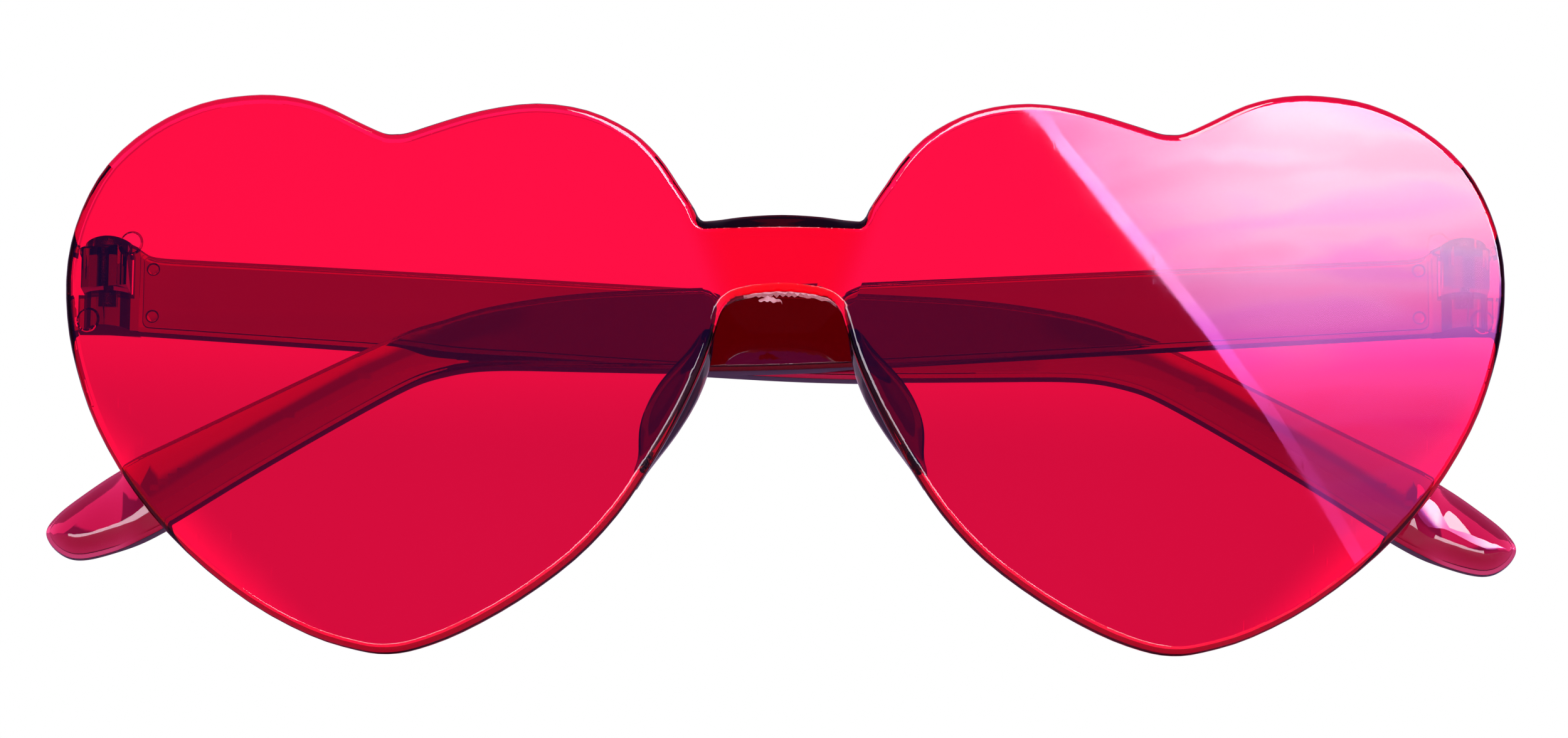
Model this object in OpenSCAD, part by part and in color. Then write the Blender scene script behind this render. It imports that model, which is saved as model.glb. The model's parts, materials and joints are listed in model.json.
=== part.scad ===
// Rimless heart shaped sunglasses in clear red plastic: a front moulded in one piece, and two
// folding arms, each on its own steel hinge screw. Sizes are in millimetres.
// The frame is the one in which they are worn: +X points to the wearer's left, +Y from the
// front to the wearer and +Z up. The origin is the crown of the nose arch, halfway through the
// bridge. The arms are drawn folded, the left one between the front and the right one.

/* [Front] */
// Width of the front over both hearts
front_w = 150; // [136:1:164]
// Height of a heart from its tip to the top of its outer lobe
front_h = 59.6; // [54:0.4:66]
// Wall of the lenses
lens_t = 2; // [1.6:0.1:2.4]
// Radius to which the front is curved round the face
front_curve_r = 260; // [220:5:400]
// Thickness of the bridge between the hearts
bridge_t = 3.2; // [2.8:0.1:4]
// Width of the thick part of the bridge along its top edge
bridge_top_w = 16.6; // [14:0.2:18]
// Width of the thick part of the bridge along the nose arch
bridge_low_w = 11.2; // [9:0.2:13]

/* [Nose pads] */
// Height of each nose pad
pad_l = 17.5; // [14:0.5:19]
// Drop from the crown of the nose arch to the top of the pads
pad_drop = 3; // [2.4:0.1:4]
// Length of each pad from the back of the lens to its rim
pad_reach = 8.6; // [6:0.2:9.4]
// Wall of the pads
pad_t = 1.4; // [1:0.1:1.8]
// Angle by which the pads spread towards the wearer
pad_splay = 30; // [20:1:38]
// Crown of the pads towards the nose, a third of the way to their rim
pad_crown = 1.8; // [0.6:0.1:2]

/* [Hinges] */
// Distance from the side of the front to the hinge axis
pin_inset = 4.4; // [4:0.1:5.4]
// Distance from the back of the lens to the hinge axis
pin_standoff = 4; // [3.8:0.1:4.6]
// Height of the hinge's middle above the crown of the nose arch
hinge_rise = 4.15; // [2:0.1:6]
// Radius of the knuckles and of the lug between them
knuckle_r = 2.45; // [2.2:0.05:2.5]
// Height of the front's lug, which sits between the knuckles
lug_h = 4.35; // [3.6:0.05:5]
// Height of an arm's upper knuckle
upper_knuckle_h = 1.4; // [1.2:0.05:1.8]
// Height of an arm's lower knuckle
lower_knuckle_h = 3.7; // [3.2:0.05:4.2]
// Radius of the domed top of the hinge
dome_r = 6.5; // [5.5:0.1:9]
// Play between the lug and each knuckle
hinge_play = 0.05; // [0.03:0.01:0.1]
// Gap between the lug's round end and the arm behind it
lug_gap = 0.2; // [0.1:0.05:0.3]
// Gap that is left between an arm's heel and the lens when the arm is open
heel_gap = 0.2; // [0.15:0.05:0.4]

/* [Hinge screws] */
// Diameter of the screw's shank
screw_d = 1.2; // [1:0.1:1.4]
// Length of the screw with its head
screw_l = 7.1; // [6.6:0.1:7.6]
// Diameter of the screw's head
head_d = 1.9; // [1.7:0.1:2.2]
// Height of the screw's head
head_h = 0.6; // [0.4:0.05:0.7]
// Depth of the head's top below the top of the dome
head_sink = 0.15; // [0.05:0.05:0.3]
// Width of the screwdriver slot
slot_w = 0.3; // [0.2:0.05:0.4]
// Depth of the screwdriver slot
slot_depth = 0.3; // [0.2:0.05:0.35]
// Radial play of the screw in the lug and the upper knuckle
screw_play = 0.05; // [0.02:0.01:0.09]
// Radial play of the screw's thread in the lower knuckle
thread_play = 0.01; // [0:0.005:0.02]

/* [Arms] */
// Length of an arm from the hinge axis to its tip
arm_l = 147; // [135:1:155]
// Height of an arm beside its hinge
arm_h = 8; // [7:0.1:9]
// Thickness of an arm
arm_t = 3; // [2.4:0.1:3.2]
// Distance from the hinge axis to the outer face of an arm
arm_outset = 2.55; // [2.55:0.05:2.8]
// Drop from the arm's middle at the hinge to its tip
arm_drop = 26; // [22:0.5:32]
// Gap between the folded arms
arm_gap = 0.4; // [0.3:0.05:0.8]

/* [Hidden] */
// Overrun of cuts, and the depth by which added forms root in the wall that carries them
overrun = 1;
$fn = 96;
curve_steps = 3;

// One half of the front's outline, going round from the middle of the brow: shares of half the
// width, and of the height measured up from the heart's tip
brow_shares = [[0, 0.758], [0.054, 0.755], [0.096, 0.749], [0.112, 0.75], [0.123, 0.772]];
inner_lobe_shares = [[0.144, 0.818], [0.171, 0.867], [0.209, 0.912], [0.268, 0.949],
    [0.339, 0.964], [0.415, 0.954], [0.482, 0.932]];
cleft_shares = [[0.517, 0.919], [0.534, 0.917], [0.553, 0.92]];
outer_lobe_shares = [[0.587, 0.941], [0.64, 0.976], [0.692, 0.995], [0.746, 1],
    [0.813, 0.99], [0.883, 0.954], [0.944, 0.892], [0.981, 0.811]];
side_shares = [[0.999, 0.719], [0.997, 0.618], [0.981, 0.524], [0.949, 0.417],
    [0.892, 0.298], [0.817, 0.19], [0.728, 0.098], [0.643, 0.037]];
tip_shares = [[0.576, 0.008], [0.533, 0], [0.49, 0.008], [0.431, 0.035]];
inner_side_shares = [[0.355, 0.087], [0.279, 0.157], [0.22, 0.236]];
nose_shares = [[0.171, 0.33], [0.133, 0.416], [0.103, 0.502], [0.087, 0.569], [0.078, 0.596],
    [0.062, 0.611], [0.034, 0.619]];
crown_share = 0.622;
half_shares = concat(brow_shares, inner_lobe_shares, cleft_shares, outer_lobe_shares,
    side_shares, tip_shares, inner_side_shares, nose_shares, [[0, crown_share]]);

// How far back a nose pad reaches, from its top to its foot
pad_leaf_shares = [[0, 0.08], [0.08, 0.4], [0.17, 0.73], [0.26, 0.93], [0.37, 1], [0.51, 0.94],
    [0.64, 0.8], [0.78, 0.54], [0.9, 0.28], [1, 0.06]];
pad_stations = 14;
// Inset of the pads' root from the edge of the lens
pad_root_inset = 0.2;

// An arm from its hinge to its tip: shares of its length, its drop and its height
arm_shares = [[0, 0, 1], [0.2, 0.063, 1.06], [0.44, 0.142, 1.11], [0.54, 0.162, 1.1],
    [0.625, 0.173, 1], [0.687, 0.2, 0.81], [0.722, 0.246, 0.71], [0.756, 0.319, 0.75],
    [0.85, 0.608, 0.92], [0.918, 0.827, 1.09], [0.949, 0.908, 1.06], [0.976, 0.98, 0.83],
    [0.992, 1, 0.47]];
arm_tip_share = [1, 1];

// Height of a point of the outline above the crown of the nose arch
function front_z(share) = (share - crown_share) * front_h;
function front_point(share) = [share[0] * front_w / 2, front_z(share[1])];
function mirrored(p) = [-p[0], p[1]];

// A smooth curve through points, with steps more points on each stretch
function between(a, b, c, d, t) =
    (2 * b + (c - a) * t + (2 * a - 5 * b + 4 * c - d) * t * t
        + (3 * b - a - 3 * c + d) * t * t * t) / 2;
function smooth_ring(points, steps) = let (n = len(points))
    [for (i = [0:n - 1], k = [0:steps - 1])
        between(points[(i + n - 1) % n], points[i], points[(i + 1) % n],
            points[(i + 2) % n], k / steps)];
function smooth_line(points, steps) = let (last = len(points) - 1)
    [for (i = [0:last - 1], k = [0:steps - 1])
        between(points[max(i - 1, 0)], points[i], points[i + 1],
            points[min(i + 2, last)], k / steps),
        points[last]];

half_outline = [for (share = half_shares) front_point(share)];
half_count = len(half_outline);
outline = smooth_ring(concat(half_outline,
    [for (i = [half_count - 2:-1:1]) mirrored(half_outline[i])]), curve_steps);
nose_edge = [for (share = concat(inner_side_shares, nose_shares))
    [front_z(share[1]), share[0] * front_w / 2]];

// The front's surfaces
face_y = -bridge_t / 2;
curve_y = face_y + front_curve_r;
lens_back_r = front_curve_r - lens_t;
function back_y(x) = curve_y - sqrt(lens_back_r * lens_back_r - x * x);
front_low = front_z(0);
front_depth = back_y(front_w / 2) - face_y + overrun;

// The hinges
pin_x = front_w / 2 - pin_inset;
pin_y = back_y(pin_x) + pin_standoff;
stack_h = lower_knuckle_h + lug_h + upper_knuckle_h + 2 * hinge_play;
stack_low = hinge_rise - stack_h / 2;
stack_top = stack_low + stack_h;
lug_low = stack_low + lower_knuckle_h + hinge_play;
slot_end = knuckle_r + lug_gap;
screw_r = screw_d / 2;
head_top = stack_top - head_sink;
heel_l = pin_y - back_y(pin_x + arm_outset) - heel_gap;

// The folded arms lie parallel, turned alike from the line through both hinges
fold_turn = asin((arm_t + arm_gap) / (2 * pin_x));
arm_inner_y = arm_outset - arm_t;
arm_mid_z = stack_low + arm_h / 2;
function arm_top(share) = [share[0] * arm_l,
    arm_mid_z - share[1] * arm_drop + share[2] * arm_h / 2];
function arm_foot(share) = [share[0] * arm_l,
    arm_mid_z - share[1] * arm_drop - share[2] * arm_h / 2];
arm_count = len(arm_shares);
arm_outline = smooth_line(concat(
    [for (share = arm_shares) arm_top(share)],
    [[arm_tip_share[0] * arm_l, arm_mid_z - arm_tip_share[1] * arm_drop]],
    [for (i = [arm_count - 1:-1:0]) arm_foot(arm_shares[i])]), curve_steps);

// Draws its child twice, on the wearer's left and mirrored on the right
module both_sides() {
    children();
    mirror([1, 0, 0]) children();
}

// Stands a flat outline up, so that it faces along Y, from y = from to y = to
module standing(from, to) {
    translate([0, to, 0]) rotate([90, 0, 0]) linear_extrude(to - from) children();
}

// The wall of both lenses: the outline cut from a curved shell
module lens_wall() {
    intersection() {
        standing(face_y - overrun, face_y + front_depth) polygon(outline);
        translate([0, curve_y, front_low - overrun]) difference() {
            cylinder(r = front_curve_r, h = front_h + 2 * overrun, $fn = 720);
            translate([0, 0, -overrun])
                cylinder(r = lens_back_r, h = front_h + 4 * overrun, $fn = 720);
        }
    }
}

// The bridge's thick back, narrower at the nose than at the brow
module bridge_back() {
    bridge_top = front_z(brow_shares[0][1]);
    intersection() {
        standing(face_y, bridge_t / 2) polygon(outline);
        standing(face_y + lens_t - overrun, bridge_t / 2) polygon([
            [-bridge_low_w / 2, 0], [bridge_low_w / 2, 0],
            [bridge_top_w / 2, bridge_top], [-bridge_top_w / 2, bridge_top]]);
    }
}

// One ring of the left nose pad, at a share of its height from the top
function pad_ring(t) = let (
        z = -pad_drop - t * pad_l,
        x = lookup(z, nose_edge),
        y = back_y(x),
        leaf = lookup(t, pad_leaf_shares),
        back = [sin(pad_splay), cos(pad_splay)] * pad_reach * leaf,
        out = [cos(pad_splay), -sin(pad_splay)] * pad_t,
        root = [x + pad_root_inset, y - lens_t / 2],
        middle = [x, y] + back / 3 - out / pad_t * pad_crown * leaf,
        rim = [x, y] + back)
    [for (p = [root, middle, rim, rim + out, middle + out, root + [pad_t, 0]])
        [p[0], p[1], z]];

module nose_pad() {
    rings = [for (i = [0:pad_stations]) each pad_ring(i / pad_stations)];
    n = len(pad_ring(0));
    sides = [for (i = [0:pad_stations - 1], j = [0:n - 1])
        let (a = i * n + j, b = i * n + (j + 1) % n) each [[a, b + n, b], [a, a + n, b + n]]];
    top = [[for (j = [0:n - 1]) j]];
    foot = [[for (j = [n - 1:-1:0]) pad_stations * n + j]];
    polyhedron(rings, concat(sides, top, foot));
}

// The lug that carries an arm, with its round end on the hinge axis
module lug() {
    root_y = pin_y - pin_standoff - lens_t / 2;
    translate([pin_x, pin_y, lug_low]) cylinder(r = knuckle_r, h = lug_h);
    translate([pin_x - knuckle_r, root_y, lug_low]) cube([2 * knuckle_r, pin_y - root_y, lug_h]);
}

module lens_front() {
    color("crimson") difference() {
        union() {
            lens_wall();
            bridge_back();
            both_sides() nose_pad();
            both_sides() lug();
        }
        both_sides() translate([pin_x, pin_y, lug_low - overrun])
            cylinder(r = screw_r + screw_play, h = lug_h + 2 * overrun);
    }
}

// The upright walls of an arm: its side view, with a domed block round the hinge
module arm_side() {
    depth = knuckle_r + overrun;
    standing(-depth, arm_outset + overrun) polygon(arm_outline);
    intersection() {
        translate([0, 0, stack_top - dome_r]) rotate([90, 0, 0])
            cylinder(r = dome_r, h = 3 * depth, center = true);
        translate([-dome_r, -depth, stack_low])
            cube([2 * dome_r, depth + arm_outset + overrun, stack_h]);
    }
}

// An arm seen from above: knuckle, square heel and straight blade
module arm_plan() {
    circle(r = knuckle_r);
    translate([-heel_l, 0]) square([heel_l + overrun, arm_outset]);
    translate([0, arm_inner_y]) square([arm_l + overrun, arm_t]);
}

// An arm with its hinge axis at the origin, pointing along +X, its inner face towards -Y
module arm() {
    plan_low = arm_mid_z - arm_drop - arm_h;
    color("crimson") difference() {
        intersection() {
            arm_side();
            translate([0, 0, plan_low]) linear_extrude(stack_top - plan_low) arm_plan();
        }
        translate([-dome_r, -dome_r, lug_low - hinge_play])
            cube([dome_r + slot_end, 2 * dome_r, lug_h + 2 * hinge_play]);
        translate([0, 0, lug_low]) cylinder(r = screw_r + screw_play, h = stack_h);
        translate([0, 0, head_top - head_h]) cylinder(r = head_d / 2 + screw_play, h = stack_h);
        translate([0, 0, head_top - screw_l]) cylinder(r = screw_r + thread_play, h = screw_l);
    }
}

// A hinge screw, with its axis on Z
module hinge_screw() {
    color("silver") difference() {
        translate([0, 0, head_top - screw_l]) union() {
            cylinder(r = screw_r, h = screw_l - head_h / 2);
            translate([0, 0, screw_l - head_h]) cylinder(r = head_d / 2, h = head_h);
        }
        translate([-head_d, -slot_w / 2, head_top - slot_depth])
            cube([2 * head_d, slot_w, head_h]);
    }
}

// The wearer's right arm is the outer one when folded, and its tip leans away from the front
module right_arm() {
    translate([-pin_x, pin_y, 0]) rotate([0, 0, fold_turn]) arm();
}

// The wearer's left arm is the inner one, and its tip leans towards the front
module left_arm() {
    translate([pin_x, pin_y, 0]) rotate([0, 0, fold_turn]) mirror([1, 0, 0]) arm();
}

module right_hinge_screw() {
    translate([-pin_x, pin_y, 0]) hinge_screw();
}

module left_hinge_screw() {
    translate([pin_x, pin_y, 0]) hinge_screw();
}

lens_front();
left_arm();
right_arm();
left_hinge_screw();
right_hinge_screw();
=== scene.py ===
"""Heart shaped sunglasses in clear red plastic, dressed round their construction model."""
import json
import math

import bmesh
import bpy
from bmesh.types import BMEdge, BMVert
from bpy.props import FloatProperty, PointerProperty, StringProperty
from mathutils import Matrix, Vector


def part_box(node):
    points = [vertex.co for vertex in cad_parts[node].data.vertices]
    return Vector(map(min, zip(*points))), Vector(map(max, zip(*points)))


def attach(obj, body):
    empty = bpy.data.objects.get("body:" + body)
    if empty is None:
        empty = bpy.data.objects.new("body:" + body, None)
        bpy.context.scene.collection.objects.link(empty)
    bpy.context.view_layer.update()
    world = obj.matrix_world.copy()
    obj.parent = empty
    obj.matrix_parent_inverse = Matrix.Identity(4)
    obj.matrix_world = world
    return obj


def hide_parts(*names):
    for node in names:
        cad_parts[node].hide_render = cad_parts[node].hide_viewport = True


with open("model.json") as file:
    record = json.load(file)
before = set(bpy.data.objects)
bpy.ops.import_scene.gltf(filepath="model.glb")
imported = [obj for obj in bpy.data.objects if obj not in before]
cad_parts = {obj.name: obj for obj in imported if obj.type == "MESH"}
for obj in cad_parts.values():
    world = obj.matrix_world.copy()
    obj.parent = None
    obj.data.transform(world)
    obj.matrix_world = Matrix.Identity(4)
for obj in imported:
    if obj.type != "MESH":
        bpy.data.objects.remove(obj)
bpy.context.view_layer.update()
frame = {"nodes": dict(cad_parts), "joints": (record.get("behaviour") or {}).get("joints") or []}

bl_info = {
    "name": "Heart Shaped Sunglasses",
    "version": (1, 0, 0),
    "blender": (4, 5, 0),
    "location": "3D View > Sidebar > Sunglasses",
    "description": "Builds rimless heart shaped sunglasses and the stage they are shown on",
    "category": "Add Mesh",
}

# Meshes are modelled in millimetres and scaled to metres when they are finished
MM = 0.001
FRONT_LOW, FRONT_HIGH = (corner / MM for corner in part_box("lens_front"))
SCREW_LOW, SCREW_HIGH = (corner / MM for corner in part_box("left_hinge_screw"))
SCREW_L = SCREW_HIGH.z - SCREW_LOW.z
HEAD_R = (SCREW_HIGH.x - SCREW_LOW.x) / 2
LEFT_HINGE = next(joint for joint in frame["joints"] if joint["child"] == "left_arm")
# A point on the left hinge's axis, and the top of the knuckles on it
PIN = Vector(LEFT_HINGE["pos_m"]) / MM
STACK_TOP = (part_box("right_arm")[1] / MM).z


def length(name, description, default):
    """A size in millimetres, kept in the scene's metres."""
    return FloatProperty(name=name, description=description, default=default * MM,
                         min=0, precision=5, unit="LENGTH", subtype="DISTANCE")


def hex_text(name, description, default):
    return StringProperty(name=name, description=description, default=default)


class FrontSizes(bpy.types.PropertyGroup):
    wall: length("Wall", "Wall of the lenses", 2.0)
    curve_r: length("Curve radius", "Radius to which the front is curved round the face", 260)
    edge_r: length("Edge radius", "Rounding of the front's edges", 0.85)
    bridge_top_w: length("Bridge at the brow", "Width of the thick bridge at its top", 16.6)
    bridge_low_w: length("Bridge at the nose", "Width of the thick bridge at the arch", 11.2)
    bridge_ramp: length("Bridge ramp", "Width of the slope at the sides of the bridge", 4.6)
    brow_slope: length("Brow slope", "Height of the slope along the bridge's top edge", 1.8)
    brow_lift: length("Brow lift", "Rise of the bridge's top behind that slope", 0.4)
    pad_l: length("Pad height", "Height of each nose pad", 17.5)
    pad_drop: length("Pad drop", "Drop from the nose arch's crown to the pads", 3.0)
    pad_reach: length("Pad reach", "Length of a pad from the lens to its rim", 7.7)
    pad_t: length("Pad wall", "Wall of the nose pads", 1.4)
    pad_crown: length("Pad crown", "Crown of the pads towards the nose", 1.8)
    pad_splay: FloatProperty(name="Pad splay", description="Spread of the pads to the wearer",
                             default=math.radians(30), subtype="ANGLE", unit="ROTATION")
    lug_r: length("Lug radius", "Radius of the hinge lugs' round end", 2.45)
    lug_h: length("Lug height", "Height of the hinge lugs", 4.35)
    bore_r: length("Lug bore", "Radius of the bore for the hinge screw", 0.65)
    mark_r: length("Ejector mark", "Radius of the ejector marks on the back", 1.3)
    gate_w: length("Gate", "Width of the torn moulding gate under the bridge", 9.5)


class ArmSizes(bpy.types.PropertyGroup):
    thickness: length("Thickness", "Thickness of an arm", 3.0)
    outset: length("Outset", "Distance from the hinge axis to the outer face", 2.55)
    gap: length("Fold gap", "Gap between the folded arms", 0.4)
    edge_r: length("Edge radius", "Rounding of an arm's outer edges", 0.45)
    step_r: length("Step rounding", "Rounding of the inner side's edges", 0.45)
    panel_inset: length("Panel inset", "Width of the low band round the inner panel", 0.4)
    panel_rise: length("Panel rise", "Height of the inner panel above that band", 0.2)
    ear_crown: length("Ear crown", "Swell of the inner panel along the ear piece", 0.45)
    tip_crown: length("Tip crown", "Swell of the inner panel at the tip", 0.15)
    tip_hollow: length("Tip hollow", "Depth by which the band round the tip is sunk", 1.1)
    block_end: length("Hinge block", "Distance from the hinge axis to the panel's band", 3.3)
    mark_r: length("Ejector mark", "Radius of the ejector marks", 0.7)


class ScrewSizes(bpy.types.PropertyGroup):
    shank_r: length("Shank", "Radius of the screw's shank", 0.6)
    core_r: length("Core", "Radius at the bottom of the thread", 0.47)
    head_h: length("Head height", "Height of the screw's head", 0.6)
    slot_w: length("Slot width", "Width of the slot across the head", 0.3)
    slot_depth: length("Slot depth", "Depth of the slot across the head", 0.3)
    pitch: length("Pitch", "Rise of the thread in one turn", 0.3)
    thread_l: length("Thread", "Length of the thread", 3.2)


class Finishes(bpy.types.PropertyGroup):
    front: hex_text("Front", "Colour of 2 mm of the front's plastic over white", "fb0a38")
    # The arms' colour is deeper than the front's dye: partly the plastic, partly painted shade
    # from what the arms lie on
    arms: hex_text("Arms", "Colour of 3 mm of the arms' plastic over white", "960c30")
    steel: hex_text("Steel", "Colour of the screws", "a7a5a2")
    torn: hex_text("Torn plastic", "Colour of the stress-whitened gate", "f2b9c6")
    torn_dark: hex_text("Torn fibres", "Colour between the fibres of the torn gate", "c2415f")
    floor: hex_text("Floor", "Colour of the floor", "f2f2f0")
    # Painted shade: a dark tint on the surface of the front's edges
    edge: hex_text("Edge", "Colour left by one side of a dense edge", "8c2c56")
    # Painted shade: a deeper tint on the surfaces of the nose pads, hinge lugs, and the arms'
    # knuckles, mark rims and panel edges
    lug: hex_text("Lugs", "Colour left by one side of a nose pad, lug or knuckle", "44102f")
    room: hex_text("Room", "Colour of the room before the front", "6f3aa8")
    dark: hex_text("Dark room", "Colour of the room at the sides", "4e2a54")
    behind: hex_text("Behind", "Colour that inner reflections show behind the front", "b597ba")
    strip: hex_text("Strip lights", "Colour of the strip lights in reflections", "f8f0ff")


class Sunglasses(bpy.types.PropertyGroup):
    front: PointerProperty(type=FrontSizes)
    arms: PointerProperty(type=ArmSizes)
    screws: PointerProperty(type=ScrewSizes)
    finishes: PointerProperty(type=Finishes)


class Millimetres:
    """Reads a property group's lengths in millimetres."""

    def __init__(self, group):
        self.group = group

    def __getattr__(self, name):
        return getattr(self.group, name) / MM


def clamped(value):
    return min(max(value, 0), 1)


def eased(value):
    """Rises from 0 to 1 as value does, with a soft start and end."""
    share = clamped(value)
    return share * share * (3 - 2 * share)


# Mesh tools

def everything(bm):
    return bm.verts[:] + bm.edges[:] + bm.faces[:]


def only(kind, geometry):
    """The vertices or the edges among what an operator gives back."""
    return [g for g in geometry if isinstance(g, kind)]


def cad_copy(node):
    """A merged copy of a construction node's mesh, in millimetres."""
    bm = bmesh.new()
    bm.from_mesh(frame["nodes"][node].data)
    bmesh.ops.scale(bm, vec=Vector((1, 1, 1)) / MM, verts=bm.verts)
    bmesh.ops.remove_doubles(bm, verts=bm.verts, dist=0.002)
    return bm


def keep_faces(bm, wanted):
    """Leaves the wanted faces, flattened to y = 0 and joined into one."""
    bmesh.ops.delete(bm, geom=[f for f in bm.faces if not wanted(f)], context="FACES")
    for v in bm.verts:
        v.co.y = 0
    bmesh.ops.dissolve_faces(bm, faces=bm.faces[:], use_verts=False)


def smooth_outline(bm, cuts, rounds, keep=lambda v: False):
    """Takes the facets out of an outline, by more points on each edge and an even pull."""
    bmesh.ops.bisect_edges(bm, edges=bm.edges[:], cuts=cuts)
    for _ in range(rounds):
        bmesh.ops.smooth_vert(bm, verts=[v for v in bm.verts if not keep(v)], factor=0.5,
                              use_axis_x=True, use_axis_z=True)


def edge_distance(place, outline):
    """How far a point lies from an outline's nearest edge, seen along Y."""
    found = []
    for a, b in outline:
        line = Vector((b.x - a.x, b.z - a.z))
        away = Vector((place.x - a.x, place.z - a.z))
        share = clamped(away.dot(line) / max(line.length_squared, 1e-9))
        found.append((away - line * share).length)
    return min(found)


def thicken(bm, depth):
    """Extrudes the one flat face at y = 0 to y = depth."""
    made = bmesh.ops.extrude_face_region(bm, geom=bm.faces[:])["geom"]
    bmesh.ops.translate(bm, vec=(0, depth, 0), verts=only(BMVert, made))
    bmesh.ops.recalc_face_normals(bm, faces=bm.faces)


def flat_faces(bm, side=0):
    """The faces square to Y: all of them, or those that face side."""
    return [f for f in bm.faces
            if abs(f.normal.y) > 0.9995 and (side == 0 or f.normal.y * side > 0)]


def round_edges(bm, edges, radius, segments):
    bmesh.ops.bevel(bm, geom=edges, offset=radius, offset_type="OFFSET", segments=segments,
                    profile=0.5, affect="EDGES", clamp_overlap=False, material=-1)


def cut(bm, point, direction):
    """Cuts the flat faces along a plane."""
    faces = flat_faces(bm)
    edges = dict.fromkeys(e for f in faces for e in f.edges)
    verts = dict.fromkeys(v for f in faces for v in f.verts)
    bmesh.ops.bisect_plane(bm, geom=[*faces, *edges, *verts], dist=0.0005,
                           plane_co=point, plane_no=direction)


def made_object(name, bm):
    mesh = bpy.data.meshes.new(name)
    bm.to_mesh(mesh)
    bm.free()
    obj = bpy.data.objects.new(name, mesh)
    bpy.context.scene.collection.objects.link(obj)
    return obj


def cylinder(radius, low, high):
    """A cylinder along Z between two points of its axis."""
    bm = bmesh.new()
    middle = (Vector(low) + Vector(high)) / 2
    bmesh.ops.create_cone(bm, cap_ends=True, segments=64, radius1=radius, radius2=radius,
                          depth=high[2] - low[2], matrix=Matrix.Translation(middle))
    return made_object("tool", bm)


def ejector_mark(radius, centre, depth, side, turn=0):
    """A disc with sloping sides, wide towards side on the Y axis and turned about Z, for the
    round marks that ejector pins leave."""
    bm = bmesh.new()
    place = Matrix.Translation(centre) @ Matrix.Rotation(turn, 4, "Z")
    place = place @ Matrix.Rotation(math.radians(-90 * side), 4, "X")
    bmesh.ops.create_cone(bm, cap_ends=True, segments=48, radius1=radius - depth,
                          radius2=radius + depth, depth=2 * depth, matrix=place)
    return made_object("tool", bm)


def block(low, high):
    bm = bmesh.new()
    size = Vector(high) - Vector(low)
    place = Matrix.Translation((Vector(low) + Vector(high)) / 2) @ Matrix.Diagonal((*size, 1))
    bmesh.ops.create_cube(bm, size=1, matrix=place)
    return made_object("tool", bm)


def joined(objects):
    """Several separate closed meshes as one object."""
    bm = bmesh.new()
    for obj in objects:
        bm.from_mesh(obj.data)
        drop(obj)
    return made_object("tool", bm)


def drop(obj):
    used = obj.data
    bpy.data.objects.remove(obj)
    bpy.data.meshes.remove(used)


def apply_modifiers(obj):
    graph = bpy.context.evaluated_depsgraph_get()
    mesh = bpy.data.meshes.new_from_object(obj.evaluated_get(graph))
    obj.modifiers.clear()
    old, obj.data = obj.data, mesh
    bpy.data.meshes.remove(old)
    return mesh


def combine(base, tools, operation):
    """Joins tools to base, or cuts them from it, and removes the tools."""
    tool = joined(tools)
    boolean = base.modifiers.new("cut", "BOOLEAN")
    boolean.operation = operation
    boolean.solver = "EXACT"
    boolean.object = tool
    if len(apply_modifiers(base).polygons) < 6:
        raise RuntimeError(f"{operation} on {base.name} left nothing")
    drop(tool)
    return base


def finished(obj, name, place=Matrix.Identity(4), sharp=math.radians(32), exact=None,
             material=lambda face: 0):
    """Moves a mesh to its place, in metres, with smooth shading and crisp edges. Light bends
    by a surface's normals, so exact gives a face's true normal at a point, or None. material
    gives a face's material slot."""
    bm = bmesh.new()
    bm.from_mesh(obj.data)
    bmesh.ops.remove_doubles(bm, verts=bm.verts, dist=0.0005)
    bmesh.ops.dissolve_degenerate(bm, dist=0.0005, edges=bm.edges)
    bmesh.ops.triangulate(bm, faces=[f for f in bm.faces if len(f.verts) > 4])
    bmesh.ops.recalc_face_normals(bm, faces=bm.faces)
    for f in bm.faces:
        f.smooth = True
    bm.to_mesh(obj.data)
    bm.free()
    obj.data.set_sharp_from_angle(angle=sharp)
    weighted = obj.modifiers.new("even shading", "WEIGHTED_NORMAL")
    weighted.mode = "FACE_AREA"
    weighted.keep_sharp = True
    mesh = apply_modifiers(obj)
    normals = [corner.vector.copy() for corner in mesh.corner_normals]
    for face in mesh.polygons:
        face.material_index = material(face)
        for i in face.loop_indices:
            true = exact and exact(face, mesh.vertices[mesh.loops[i].vertex_index].co)
            if true:
                normals[i] = true
    turn = place.to_3x3()
    mirrored = turn.determinant() < 0
    mesh.transform(Matrix.Scale(MM, 4) @ place)
    if mirrored:
        mesh.flip_normals()
        for face in mesh.polygons:
            others = slice(face.loop_start + 1, face.loop_start + face.loop_total)
            normals[others] = reversed(normals[others])
    mesh.normals_split_custom_set([(turn @ n).normalized() for n in normals])
    obj.name = mesh.name = name
    return obj


# Materials

def linear(hex_code):
    """An sRGB hex colour as linear light, with an alpha of 1."""
    channels = [int(hex_code[i:i + 2], 16) / 255 for i in (0, 2, 4)]
    light = [c / 12.92 if c <= 0.04045 else ((c + 0.055) / 1.055) ** 2.4 for c in channels]
    return (*light, 1)


def add(tree, kind, inputs=(), **settings):
    """Adds a shader node and sets its attributes or inputs by name. inputs are pairs of an
    input and its value, or the output it is linked to. A node stands for its first output."""
    node = tree.nodes.new("ShaderNode" + kind)
    for key, value in settings.items():
        if hasattr(node, key):
            setattr(node, key, value)
        else:
            node.inputs[key.replace("_", " ")].default_value = value
    for target, source in inputs:
        if isinstance(source, bpy.types.Node):
            source = source.outputs[0]
        if isinstance(source, bpy.types.NodeSocket):
            tree.links.new(source, node.inputs[target])
        else:
            node.inputs[target].default_value = source
    return node


def new_material(name):
    material = bpy.data.materials.new(name)
    material.use_nodes = True
    material.node_tree.nodes.clear()
    return material, material.node_tree


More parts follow.
